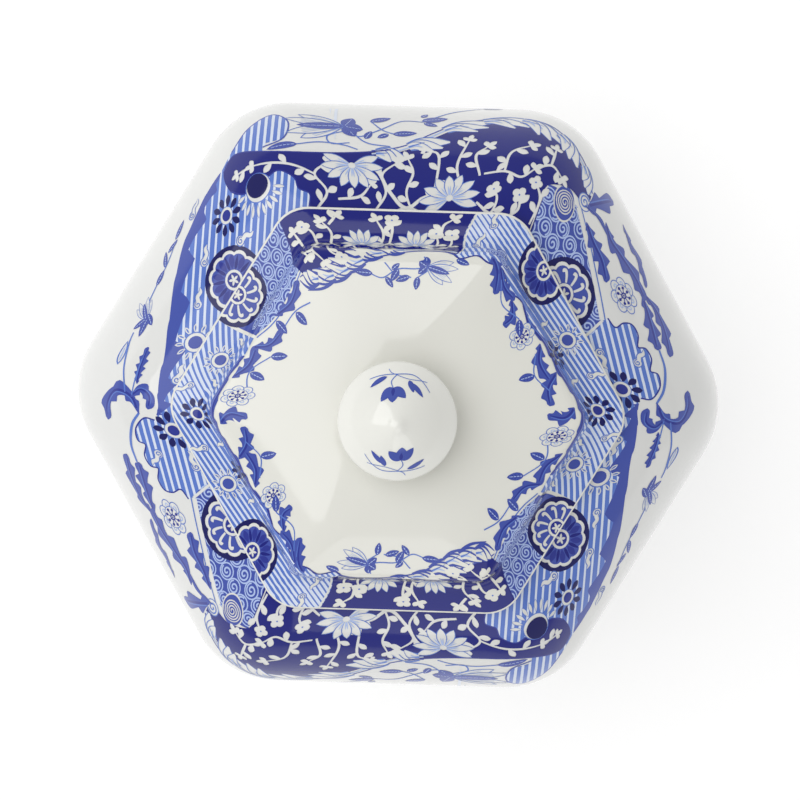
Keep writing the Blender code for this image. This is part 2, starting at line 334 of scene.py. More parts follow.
def lid_stations():
    brim_z, wall_z, _, _ = crown_levels()
    outer = MOUTH_HALF - FLANGE_CLEARANCE
    inner = outer - FLANGE_WIDTH
    bottom_z = LEDGE_Z - FLANGE_DEPTH
    stations = list(reversed(dome_stations(LID_WALL, 30)))
    flange = [(mix(inner, CROWN_HALF - LID_WALL, 0.6), wall_z - LID_WALL), (inner, brim_z - LID_WALL / 2)]
    flange += arc(((inner + outer) / 2, bottom_z + FLANGE_WIDTH / 2), FLANGE_WIDTH / 2, 180, 360, 18)
    flange += [(outer, LEDGE_Z - LIP_RADIUS), (outer + LIP_RADIUS / 2, LEDGE_Z + SEAT_GAP)]
    corner = MOUTH_CORNER - FLANGE_CLEARANCE
    stations += [(a, corner - (outer - a), z) for a, z in flange]
    rim_angle = shoulder_angle(LID_HALF - 2 * RIM_RADIUS)
    for share in np.linspace(0, 1, 12):
        a, c, z = shoulder(mix(LIP_ANGLE, rim_angle, share), mix(SEAT_GAP, RIM_GAP, share))
        stations.append((a, mix(c, LID_CORNER, share), z))
    return stations + outside_of_lid()


def knob_stations():
    """From the pointed tip down the outside to the luted foot."""
    tip = bezier((0.02, KNOB_HEIGHT), (KNOB_RADIUS * 0.09, KNOB_HEIGHT),
                 (KNOB_RADIUS * 0.17, KNOB_HEIGHT * 0.94), 12)
    cap = bezier(tip[-1], (KNOB_RADIUS * 0.62, KNOB_HEIGHT * 0.78), (KNOB_EDGE_RADIUS, KNOB_EDGE_Z), 30)
    side = bezier(cap[-1], (KNOB_RADIUS * 1.03, mix(KNOB_SIDE_Z, KNOB_EDGE_Z, 0.5)),
                  (KNOB_RADIUS, KNOB_SIDE_Z), 14)
    under = bezier(side[-1], (KNOB_RADIUS * 0.97, mix(NECK_Z, KNOB_SIDE_Z, 0.35)),
                   (NECK_RADIUS, NECK_Z), 20)
    foot = bezier(under[-1], (NECK_RADIUS, SINK), (KNOB_FOOT_RADIUS, SINK), 10)
    profile = np.array(tip + cap[1:] + side[1:] + under[1:] + foot[1:])
    for _ in range(KNOB_SOFTENING):
        profile[1:-1] = (profile[:-2] + 2 * profile[1:-1] + profile[2:]) / 4
    return [(r, r, KNOB_BASE_Z + z) for r, z in profile]


# ---------------------------------------------------------------- meshes

def new_object(name, data):
    item = bpy.data.objects.new(name, data)
    bpy.context.scene.collection.objects.link(item)
    return item


def ring(apothem, corner, z, side_steps, corner_steps):
    """The points of one rounded hexagon, clockwise, evenly spread over its sides and over its corners."""
    straight = (apothem - corner) * T
    whole = straight + corner * math.pi / 6
    turn = max(straight / whole, 0.5)
    side = np.linspace(-turn, turn, side_steps + 1)[:-1]
    bend = np.linspace(turn, 2 - turn, corner_steps + 1)[:-1]
    reach = np.concatenate([side, bend])
    t = np.concatenate([k + (reach + 1) / 2 for k in range(6)])
    x, y = plan_point(t, apothem, corner)
    return np.stack([x, y, np.full_like(x, z)], axis=-1)


def shell(name, stations, side_steps=12, corner_steps=12):
    """A closed body lofted through the stations, with a flat cap at each end."""
    points = np.concatenate([ring(*station, side_steps, corner_steps) for station in stations])
    n = 6 * (side_steps + corner_steps)
    faces = []
    for low in range(0, len(points) - n, n):
        faces += [(low + i, low + (i + 1) % n, low + n + (i + 1) % n, low + n + i) for i in range(n)]
    faces += [tuple(range(n - 1, -1, -1)), tuple(range(len(points) - n, len(points)))]
    data = bpy.data.meshes.new(name)
    data.from_pydata((points * MM).tolist(), [], faces)
    body = bmesh.new()
    body.from_mesh(data)
    bmesh.ops.recalc_face_normals(body, faces=body.faces)
    body.to_mesh(data)
    body.free()
    data.shade_smooth()
    return new_object(name, data)


# ---------------------------------------------------------------- drawing

def curve(points, steps=6):
    """A smooth line through the points."""
    points = np.array(points, float)
    padded = np.concatenate([2 * points[:1] - points[1:2], points, 2 * points[-1:] - points[-2:-1]])
    out = []
    for p0, p1, p2, p3 in zip(padded, padded[1:], padded[2:], padded[3:]):
        for s in np.arange(steps) / steps:
            out.append(0.5 * (2 * p1 + (p2 - p0) * s + (2 * p0 - 5 * p1 + 4 * p2 - p3) * s * s
                              + (3 * p1 - p0 - 3 * p2 + p3) * s ** 3))
    return np.array(out + [points[-1]])


def stroke(line, width, start=0.35, end=0.35):
    """A line as a band that is width wide in the middle and start and end times that at its ends."""
    line = np.array(line, float)
    along = np.gradient(line, axis=0)
    along /= np.linalg.norm(along, axis=1, keepdims=True) + 1e-9
    normal = np.stack([-along[:, 1], along[:, 0]], axis=1)
    s = np.linspace(0, 1, len(line))
    share = np.where(s < 0.5, start + (1 - start) * np.sin(s * math.pi),
                     end + (1 - end) * np.sin(s * math.pi))
    side = normal * (width / 2 * share)[:, None]
    return np.concatenate([line + side, (line - side)[::-1]])


def petal(length, width, fat=0.8, n=9):
    """A petal from the origin along +x."""
    s = np.linspace(0, 1, n)
    half = width / 2 * np.sin(math.pi * s ** fat) ** 0.8
    top = np.stack([length * s, half], axis=1)
    return np.concatenate([top, (top * [1, -1])[::-1][1:-1]])


def disc(radius, n=14, squash=1.0):
    """A circle of n points, or an oval when squashed."""
    angles = np.linspace(0, 2 * math.pi, n, endpoint=False)
    return np.stack([radius * np.cos(angles), radius * squash * np.sin(angles)], axis=1)


def moved(points, turn, at=(0.0, 0.0)):
    c, s = math.cos(math.radians(turn)), math.sin(math.radians(turn))
    return np.array(points) @ np.array([[c, s], [-s, c]]) + np.array(at)


def group(shapes, turn, at=(0.0, 0.0), flip=False):
    """Shapes (tone, points) mirrored, turned and moved together."""
    sign = np.array([1, -1]) if flip else np.array([1, 1])
    return [(tone, moved(points * sign, turn, at)) for tone, points in shapes]


def curl(radius, turns, width, start_turn=0.0, n=22):
    """A spiral band that winds in to its middle."""
    s = np.linspace(0, 1, n)
    angle = 2 * math.pi * turns * s + math.radians(start_turn)
    r = radius * (1 - s) ** 0.9 + width * 0.4
    return stroke(np.stack([r * np.cos(angle), r * np.sin(angle)], axis=1), width, 0.8, 0.9)


def ringed(outer, inner, n):
    """A white disc of n points with a thin outline."""
    return [(LIGHT, disc(outer, n)), (WHITE, disc(inner, n))]


def spun(tone, shape, count, start=0.0):
    """Copies of a shape all the way round the origin."""
    return [(tone, moved(shape, start + i * 360 / count)) for i in range(count)]


def lotus(size):
    """An open flower seen from the side: a fan of pointed petals with shaded roots."""
    shapes = []
    for angle in (-26, 206, 2, 178, 32, 148, 62, 118, 90):
        length = size * (0.86 + 0.14 * abs(math.cos(math.radians(angle))))
        shapes.append((LIGHT, moved(petal(length * 1.02, size * 0.36, 1.25), angle)))
        shapes.append((WHITE, moved(petal(length, size * 0.30, 1.25), angle)))
        for shift in (-5, 5):
            shapes.append((PALE, moved(petal(length * 0.55, size * 0.05, 0.9, 6), angle + shift)))
    shapes.append((WHITE, disc(size * 0.12)))
    return shapes


def bud(size):
    """Three small white leaves."""
    return [(WHITE, moved(petal(size * reach, size * 0.55, 1.3, 8), angle))
            for angle, reach in ((-58, 0.85), (0, 1.1), (58, 0.85))]


def clover(size):
    """A small four-lobed blossom."""
    lobes = [(WHITE, disc(size * 0.38, 10) + moved((size * 0.42, 0), a)) for a in (45, 135, 225, 315)]
    return lobes + [(WHITE, disc(size * 0.3, 8)), (LIGHT, disc(size * 0.1, 6))]


def vine(points, width, leaf_size, every, end):
    """A curling white stem with small leaves to either side of it."""
    line = curve(points, 7)
    shapes = [(WHITE, stroke(line, width, 0.8, 0.55))]
    lengths = np.concatenate([[0], np.cumsum(np.linalg.norm(np.diff(line, axis=0), axis=1))])
    side = 1
    for place in np.arange(every * 0.6, lengths[-1] - every * 0.25, every):
        i = int(np.searchsorted(lengths, place))
        d = line[min(i + 1, len(line) - 1)] - line[i - 1]
        angle = math.degrees(math.atan2(d[1], d[0])) + side * 50
        shapes.append((WHITE, moved(petal(leaf_size, leaf_size * 0.52, 1.3, 8), angle, at=line[i])))
        side = -side
    d = line[-1] - line[-3]
    return shapes + group(end, math.degrees(math.atan2(d[1], d[0])), at=line[-1])


def daisy(size):
    """A dark round flower with a white ring round its eye."""
    petals = spun(INK, petal(size * 0.68, size * 0.33, 1.5) + [size * 0.34, 0], 10, 7)
    return petals + ringed(size * 0.46, size * 0.42, 20) + [(DEEP, disc(size * 0.28, 18))]


def sun(size):
    """A flower whose petals are white rays with a blue line in each."""
    shapes = []
    for i in range(12):
        shapes.append((WHITE, moved(petal(size * 0.5, size * 0.2, 1.2, 7) + [size * 0.5, 0], i * 30)))
        shapes.append((LIGHT, moved(petal(size * 0.32, size * 0.08, 1.2, 5) + [size * 0.6, 0], i * 30)))
    return shapes + ringed(size * 0.56, size * 0.50, 18) + [(MID, disc(size * 0.34, 16))]


def cloud(size):
    """A comma of mist: a curl and its tail, with a thin outline."""
    tail = [(size * 0.35, 0), (size * 0.9, size * 0.28), (size * 1.5, size * 0.05), (size * 2.0, size * 0.3)]
    line = curve(tail, 5)
    shapes = [(LIGHT, disc(size * 0.62, 14)), (LIGHT, stroke(line, size * 0.72, 1.0, 0.2))]
    shapes += [(WHITE, disc(size * 0.5, 14)), (WHITE, stroke(line, size * 0.48, 1.0, 0.15))]
    shapes.append((LIGHT, curl(size * 0.36, 1.3, size * 0.13, 40, 14)))
    return shapes


def whorl(size):
    """One round wave of the scroll ground."""
    return [(PALE, disc(size * 1.0, 18)), (MID, disc(size * 0.84, 18)),
            (PALE, curl(size * 0.66, 1.6, size * 0.2, 20, 24))]


def scallop(radius, lobes, depth=0.10, n=6):
    """A circle with a scalloped edge."""
    angles = np.linspace(0, 2 * math.pi, lobes * n, endpoint=False)
    r = radius * (1 - depth + depth * np.abs(np.sin(angles * lobes / 2)) ** 0.7)
    return np.stack([r * np.cos(angles), r * np.sin(angles)], axis=1)


def medallion(size, rays):
    """A scalloped disc: white rim, blue field, with petals or curled rays in it."""
    shapes = [(INK, disc(size * 1.14, 30)), (WHITE, scallop(size, 11)), (MID, scallop(size * 0.88, 11))]
    if rays:
        line = curve([(size * 0.36, 0), (size * 0.58, size * 0.02), (size * 0.72, size * 0.07),
                      (size * 0.73, size * 0.15), (size * 0.66, size * 0.14)], 4)
        shapes += spun(WHITE, stroke(line, size * 0.10, 0.7, 1.0), 11)
    else:
        for i in range(10):
            shapes.append((DARK, moved(petal(size * 0.5, size * 0.12, 0.7, 7) + [size * 0.34, 0], i * 36)))
            lobe = petal(size * 0.48, size * 0.22, 1.2, 8) + [size * 0.36, 0]
            shapes.append((DEEP, moved(lobe, i * 36 + 18)))
    shapes += [(WHITE, disc(size * 0.34, 18)), (DEEP, disc(size * 0.25, 16))]
    return shapes + spun(WHITE, petal(size * 0.2, size * 0.09, 1, 6), 5)


def leaf(length, width, veins=True):
    """A plain leaf along +x. Its veins are a pale rib and fine dark side veins."""
    s = np.linspace(0, 1, 10)
    half = width / 2 * np.sin(math.pi * s ** 0.85) ** 0.7
    top = np.stack([length * s, half], axis=1)
    shapes = [(MID, np.concatenate([top, (top * [1, -1])[::-1][1:-1]]))]
    if veins:
        rib = np.array([(length * x, 0) for x in np.linspace(0.1, 0.85, 5)])
        shapes.append((PALE, stroke(rib, 0.16, 1, 0.6)))
        for x in np.arange(0.22, 0.8, max(0.12, 0.62 / length)):
            for way in (1, -1):
                reach = width * 0.3 * math.sin(math.pi * x ** 0.85)
                vein = np.array([(length * x, 0), (length * x + reach * 0.8, way * reach)])
                shapes.append((DEEP, stroke(vein, 0.13, 1, 0.8)))
    return shapes


def tulip(size):
    """A cup flower in profile, along +x: open outer petals in outline, solid inner ones."""
    shapes = []
    for angle, length in ((-27, 0.92), (27, 0.92), (-13, 1.1), (13, 1.1)):
        outer = moved(petal(size * length, size * 0.27, 1.05, 12), angle)
        root = moved((size * 0.04, 0), angle)
        inner = moved(petal(size * (length - 0.07), size * 0.22, 1.05, 12), angle, at=root)
        shapes += [(LIGHT, outer), (WHITE, inner)]
        for shift in (-0.055, 0.0, 0.055):
            line = np.array([(size * 0.12, shift * size * 0.4), (size * length * 0.72, size * shift)])
            shapes.append((PALE, moved(stroke(line, size * 0.022, 1, 0.5), angle)))
    shapes += group(leaf(size * 0.86, size * 0.24), 0)
    for angle in (-118, 118):
        shapes += group(leaf(size * 0.36, size * 0.27), angle)
    shapes += group(leaf(size * 0.34, size * 0.3), 165)
    return shapes


def frond(line, width, lobes, sides=(1, 1)):
    """A long lobed leaf along a line, shaded along its rib."""
    line = curve(line, 8) if len(line) < 12 else np.array(line, float)
    fine = np.linspace(0, len(line) - 1, max(24, lobes * 9))
    line = np.stack([np.interp(fine, np.arange(len(line)), line[:, k]) for k in range(2)], axis=1)
    along = np.gradient(line, axis=0)
    along /= np.linalg.norm(along, axis=1, keepdims=True) + 1e-9
    normal = np.stack([-along[:, 1], along[:, 0]], axis=1)
    s = np.linspace(0, 1, len(line))
    envelope = 1.75 * s ** 0.75 * (1 - s) ** 0.5
    banks = []
    for sign, side, phase in ((1, sides[0], 0.0), (-1, sides[1], 0.45)):
        wave = (s * lobes + phase) % 1.0
        lobe = 0.42 + 0.95 * wave ** 1.7 * (1 - wave ** 14)
        banks.append(line + sign * normal * (width * 0.8 * side * envelope * lobe + 0.08)[:, None])
    shapes = [(MID, np.concatenate([banks[0], banks[1][::-1]]))]
    shapes.append((DEEP, stroke(line[2:-2], width * 0.16, 0.9, 0.4)))
    shapes.append((LIGHT, stroke(line[3:-3] + normal[3:-3] * width * 0.13, width * 0.07, 0.9, 0.4)))
    return shapes


def sprig(size):
    """A three-petalled flower on a looped tendril with two leaves."""
    s = size
    shapes = []
    for width, points in ((0.22, [(-1.5, -0.1), (-0.7, -0.45), (0.2, -0.35), (1.4, -0.5)]),
                          (0.16, [(-1.3, -0.45), (-0.4, -0.15), (0.3, -0.4), (0.5, -0.7)]),
                          (0.2, [(0.1, -0.35), (0.35, 0.05), (0.25, 0.45)])):
        shapes.append((LIGHT, stroke(curve([(x * s, y * s) for x, y in points], 7), width, 0.8, 0.8)))
    for angle in (40, 90, 140):
        shapes += group(leaf(0.75 * s, 0.5 * s, veins=False), angle, at=(0.25 * s, 0.4 * s))
    shapes.append((DEEP, moved(petal(0.42 * s, 0.16 * s), 90, at=(0.25 * s, 0.42 * s))))
    shapes += group(leaf(0.75 * s, 0.3 * s, veins=False), 155, at=(-0.5 * s, 0.05 * s))
    shapes += group(leaf(0.6 * s, 0.3 * s, veins=False), 110, at=(-0.45 * s, -0.1 * s))
    shapes += group(leaf(0.85 * s, 0.28 * s, veins=False), 12, at=(0.55 * s, -0.25 * s))
    return shapes


class Print:
    """Flat motifs on half of a skin, three sides wide, that the other half repeats turned by 180 degrees.

    Shapes are polygons (tone, points) in millimetres on the unrolled skin: x clockwise, y outwards.
    A later shape covers an earlier one.
    """

    def __init__(self, name, skin, low, high):
        self.name, self.skin, self.low, self.high = name, skin, low, high
        self.side = 2 * float(skin.half_width((low + high) / 2))
        self.shapes = []

    def add(self, tone, points):
        self.shapes.append((tone, np.array(points, float)))

    def draw(self, shapes):
        for tone, points in shapes:
            self.add(tone, points)

    def seen(self, points):
        """The unrolled places of points (x, y) that are given as seen from above."""
        places = [self.skin.locate(x, y) for x, y in points]
        return np.array([(t * self.side, v) for t, v in places])

    def unrolled(self, points):
        return self.seen(points)

    def trace(self, points, steps=6):
        """A smooth line through the points."""
        return self.unrolled(curve(points, steps))

    def line(self, tone, points, width, start=0.8, end=0.8):
        self.add(tone, stroke(self.trace(points), width, start, end))

    def place(self, shapes, x, y, turn=0.0, flip=False):
        """Shapes drawn at (x, y) as seen from above, turned as seen from above."""
        t, v = self.skin.locate(x, y)
        normal = self.skin.normal(np.array([t]), np.array([v]))[0]
        heading = math.degrees(math.atan2(normal[1], normal[0]))
        self.stick(group(shapes, turn + 90 - heading, flip=flip), t, v)

    def stick(self, shapes, t, v):
        """Shapes drawn at t sides clockwise and v outwards."""
        for tone, points in shapes:
            out = v + points[:, 1]
            width = 2 * self.skin.half_width(np.clip(out, self.low, self.high))
            self.add(tone, np.stack([(t + points[:, 0] / width) * self.side, out], axis=1))

    def between(self, tone, line, v):
        """The ground between an unrolled line and v."""
        self.add(tone, np.concatenate([line, [(line[-1, 0], v), (line[0, 0], v)]]))

    def inward(self, tone, points):
        """The ground between a line and the print's inner edge."""
        self.between(tone, self.trace(points), self.low - 1)

    def outward(self, tone, points):
        """The ground between a line and the print's outer edge."""
        self.between(tone, self.trace(points), self.high + 1)

    def polygons(self):
        """Every shape, with its copies where it crosses into the neighbouring half."""
        whole = 3 * self.side
        for tone, points in self.shapes:
            for shift in (-whole, 0.0, whole, 2 * whole):
                copy = points + (shift, 0)
                inside = copy[:, 0].max() > 0 and copy[:, 0].min() < whole
                if inside and copy[:, 1].max() > self.low and copy[:, 1].min() < self.high:
                    yield tone, copy

    def frame_points(self, grid_x, grid_y):
        """A staggered grid that lets the flat triangles follow the curved surface."""
        rows = np.linspace(self.low, self.high, int((self.high - self.low) / grid_y) + 2)
        columns = np.linspace(0, 3 * self.side, int(3 * self.side / grid_x) + 2)
        half_step = (columns[1] - columns[0]) / 2
        points = []
        for i, row in enumerate(rows):
            inner = columns[:-1] + half_step if i % 2 else columns[1:-1]
            points += [(x, row) for x in (columns[0], *inner, columns[-1])]
        return points

    def triangles(self, grid_x, grid_y):
        """Points (x, y), the printed triangles between them and their tones."""
        polygons = list(self.polygons())
        whole = 3 * self.side
        border = [(0, self.low), (whole, self.low), (whole, self.high), (0, self.high)]
        outlines = [divided(points, grid_x, grid_y) for _, points in polygons]
        outlines.append(np.array(border, float))
        coords, edges = [], []
        for points in outlines:
            first, n = len(coords), len(points)
            coords += [Vector(p) for p in points]
            edges += [(first + i, first + (i + 1) % n) for i in range(n)]
        coords += [Vector(p) for p in self.frame_points(grid_x, grid_y)]
        result = delaunay_2d_cdt(coords, edges, [], 0, 1e-4, False)
        flat = np.array([tuple(v) for v in result[0]])
        faces = np.array(result[2])
        middles = flat[faces].mean(axis=1)
        on_page = ((middles > (0, self.low)) & (middles < (whole, self.high))).all(axis=1)
        faces, middles = faces[on_page], middles[on_page]
        tones = tone_of(middles, polygons)
        used, faces = np.unique(faces[tones != WHITE], return_inverse=True)
        return flat[used], faces.reshape(-1, 3), tones[tones != WHITE]

    def build(self, materials, grid_x, grid_y):
        """The printed object: triangles by tone, lifted a little off the glaze."""
        flat, faces, tones = self.triangles(grid_x, grid_y)
        t, v = flat[:, 0] / self.side, flat[:, 1]
        normals = self.skin.normal(t, v)
        points = self.skin.at(t, v) + normals * LIFT
        turned = np.array([-1, -1, 1])
        points = np.concatenate([points, points * turned]) * MM
        normals = np.concatenate([normals, normals * turned])
        corners = points[faces]
        facing = np.cross(corners[:, 1] - corners[:, 0], corners[:, 2] - corners[:, 0])
        wrong = np.sum(facing * normals[faces[:, 0]], axis=1) < 0
        faces[wrong] = faces[wrong][:, ::-1]
        faces = np.concatenate([faces, faces + len(flat)])
        data = bpy.data.meshes.new(self.name)
        data.from_pydata(points.tolist(), [], faces.tolist())
        for material in materials:
            data.materials.append(material)
        data.polygons.foreach_set("material_index", np.concatenate([tones, tones]) - 1)
        data.shade_smooth()
        data.normals_split_custom_set_from_vertices(normals.tolist())
        return new_object(self.name, data)


def divided(outline, step_x, step_y):
    """The outline with points added, so that each flat piece of it can follow the curved surface."""
    result = []
    for a, b in zip(outline, np.roll(outline, -1, axis=0)):
        pieces = max(1, math.ceil(max(abs(b[0] - a[0]) / step_x, abs(b[1] - a[1]) / step_y)))
        result += [mix(a, b, i / pieces) for i in range(pieces)]
    return np.array(result)


def tone_of(points, polygons):
    """The tone of the last polygon round each point, by nonzero winding, or WHITE."""
    order = np.argsort(points[:, 0])
    points = points[order]
    tones = np.zeros(len(points), int)
    for tone, polygon in polygons:
        low, high = polygon.min(axis=0), polygon.max(axis=0)
        first, last = np.searchsorted(points[:, 0], (low[0], high[0]))
        rows = np.arange(first, last)
        rows = rows[(points[rows, 1] > low[1]) & (points[rows, 1] < high[1])]
        if not len(rows):
            continue
        x, y = points[rows, 0][:, None], points[rows, 1][:, None]
        a, b = polygon, np.roll(polygon, -1, axis=0)
        cross = (b[:, 0] - a[:, 0]) * (y - a[:, 1]) - (x - a[:, 0]) * (b[:, 1] - a[:, 1])
        rising = (a[:, 1] <= y) & (b[:, 1] > y) & (cross > 0)
        falling = (a[:, 1] > y) & (b[:, 1] <= y) & (cross < 0)
        inside = rising.sum(axis=1) != falling.sum(axis=1)
        tones[rows[inside]] = tone
    result = np.empty_like(tones)
    result[order] = tones
    return result


# ---------------------------------------------------------------- the border

def tongues(page, line, first, last, count, length, width, tone=LIGHT, outline=1.2):
    """Curled white leaf tongues, shaded blue, that grow along an unrolled line and lean away from it."""
    for i in range(count):
        share = i / max(1, count - 1)
        k = min(len(line) - 2, max(1, int(mix(first, last, share) * (len(line) - 1))))
        d = line[k + 1] - line[k - 1]
        heading = math.degrees(math.atan2(d[1], d[0]))
        size = length * (0.62 + 0.5 * math.sin(math.pi * share))
        for reach, lean, fat in ((1.0, 0.34, 1.0), (0.74, 0.62, 0.85), (0.48, 0.95, 0.7)):
            bend = curve([(0, 0), (size * reach * 0.45, -size * 0.06),
                          (size * reach, -size * lean * reach)], 6)
            page.add(tone, moved(stroke(bend, width * fat * outline, 0.7, 0.2), heading, at=line[k]))
            page.add(WHITE, moved(stroke(bend, width * fat, 0.75, 0.15), heading, at=line[k]))
            page.add(PALE, moved(stroke(bend[:-4], width * 0.22, 1.0, 0.2), heading, at=line[k]))
        vein = np.array([(0, 0), (size * 0.45, -size * 0.03)])
        page.add(LIGHT, moved(stroke(vein, width * 0.16, 1, 0.2), heading, at=line[k]))


def stripes(page, x_range, y_range, t_range, pitch, width, lean, bend):
    """White lines that run down the page as seen from above, between two places along it.

    They lean evenly, and bend the other way above STRIPE_BEND_Y.
    """
    for x in np.arange(*x_range, pitch):
        points = []
        for y in np.linspace(y_range[1], y_range[0], 25):
            above = y - STRIPE_BEND_Y
            bent = bend * (math.hypot(above, STRIPE_BEND_SOFTNESS) + above) / 2
            points.append((x + lean * (y - y_range[0]) - bent, y))
        line = page.seen(curve(points, 2))
        line = line[(line[:, 0] > t_range[0] * page.side) & (line[:, 0] < t_range[1] * page.side)]
        if len(line) > 2:
            page.add(MIST, stroke(line, width, 1, 1))


def leaves(page, rows):
    """A leaf for each row: its place (two numbers), turn, length and width."""
    for x, y, turn, length, width in rows:
        page.place(leaf(length, width), x, y, turn)


def fronds(page, rows):
    """A frond for each row: its points, width and number of lobes."""
    for points, width, lobes in rows:
        page.draw(frond(page.unrolled(points), width, lobes))


def draw_bowl(page):
    """The bowl's border: stripes, scrolls, medallions and flowers, then its dark ground and its sprays."""
    scrolls_edge = [(34, 40.2), (35.6, 34.5), (37, 28.6), (38.2, 23.5), (39.2, 18.8)]
    lobes = [(40.4, 19), (42, 17.2), (43.6, 18), (45.4, 17.6), (46.6, 15.6), (46.6, 13.4), (48.2, 13),
             (49.4, 11), (49.2, 8.8), (50.8, 8), (51.2, 5.6), (49.6, 3.4), (47.4, 3.6)]
    stripes_edge = [(46.6, 1), (46.6, -3.1), (45.4, -10.4), (44.5, -20.8), (42.9, -30.1), (39.1, -39.6),
                    (36.2, -44.6)]
    tongue = [(34.2, -48.6), (31.2, -53.2), (26.8, -56), (23.4, -55), (24, -52), (28, -50)]

    # Striped ground, round the right corner and down to the next dark ground.
    page.inward(LIGHT, scrolls_edge[3:] + lobes + stripes_edge + tongue + [(20, -46), (15, -42)])
    stripes(page, (14, 70), (-57.5, 22), (1.2, 3.3), pitch=1.36, width=0.56, lean=0.03, bend=0.32)
    page.line(DEEP, lobes, 0.3, 1, 1)

    # Scroll ground, on the upper right, in slanting rows of round waves.
    page.inward(MID, [(22, 34), (27, 44.5), (34, 40.2), (35.6, 34.5), (37, 28.6), (39.2, 18.8),
                      (35.5, 15), (31, 12.5)])
    pitch, row_pitch = 3.5, 3.03
    cosine, sine = 0.42, 0.908
    for row in range(-5, 9):
        for column in range(-7, 8):
            step = pitch * (column + 0.5 * (row % 2))
            x = 32 + step * cosine + row_pitch * row * sine
            y = 27 - step * sine + row_pitch * row * cosine
            if 14.6 + 0.5 * (x - 31) < y < 45 - 0.2 * (x - 26) and math.hypot(x, y) > 33.5 and x < 42:
                page.place(whorl(1.8), x, y, 40 * column)
    page.line(WHITE, [(39.4, 18.6), (35.5, 15.2), (31, 12.8)], 0.7, 1, 1)
    page.place([(WHITE, disc(2.9, 28, 1.25)), (MID, disc(2.6, 28, 1.25)),
                (WHITE, curl(2.35, 4.2, 0.3, 0, 80))], 31.4, 41.2, -30)

    # Everything outside the grounds is white again.
    page.outward(WHITE, scrolls_edge + lobes + stripes_edge + tongue + [(25.6, -48.4), (13, -48.6)])
    page.line(WHITE, scrolls_edge, 0.9, 1, 1)
    page.line(LIGHT, [(x + 0.7, y) for x, y in scrolls_edge], 0.28, 1, 1)
    page.line(DEEP, lobes, 0.34, 1, 1)
    page.line(MID, tongue, 0.34, 1, 1)

    # A leafy edge that grows into the stripes from their outer edge.
    edge = page.trace([(47, 2.6)] + stripes_edge, 8)
    page.add(*frond(edge, 6.4, 8, (0.1, 1))[0])

    # Medallions that go on under the lid, and flowers on the stripes.
    page.place(medallion(6.2, True), 31.6, 23.6, 10)
    page.place(medallion(5.8, False), 32.6, -24.4, 15)
    page.place(daisy(4), 43.6, 5.4, 8)
    page.place(sun(4.1), 39.8, -12, 0)
    page.place(daisy(3.9), 34.6, -36.6, 20)
    for x, y, turn, flip in ((39.6, -19.2, -100, False), (38.6, -27.4, -80, True), (46.6, 10.4, 60, False),
                             (39, 12.4, -70, False), (41.6, -36, -100, False), (38.6, 1, -120, False),
                             (27.6, -41.6, -30, True), (31.6, -32, -150, False), (43.2, -4.6, -100, True)):
        page.place(cloud(1.75), x, y, turn, flip=flip)

    draw_dark_ground(page)
    draw_bowl_sprays(page)


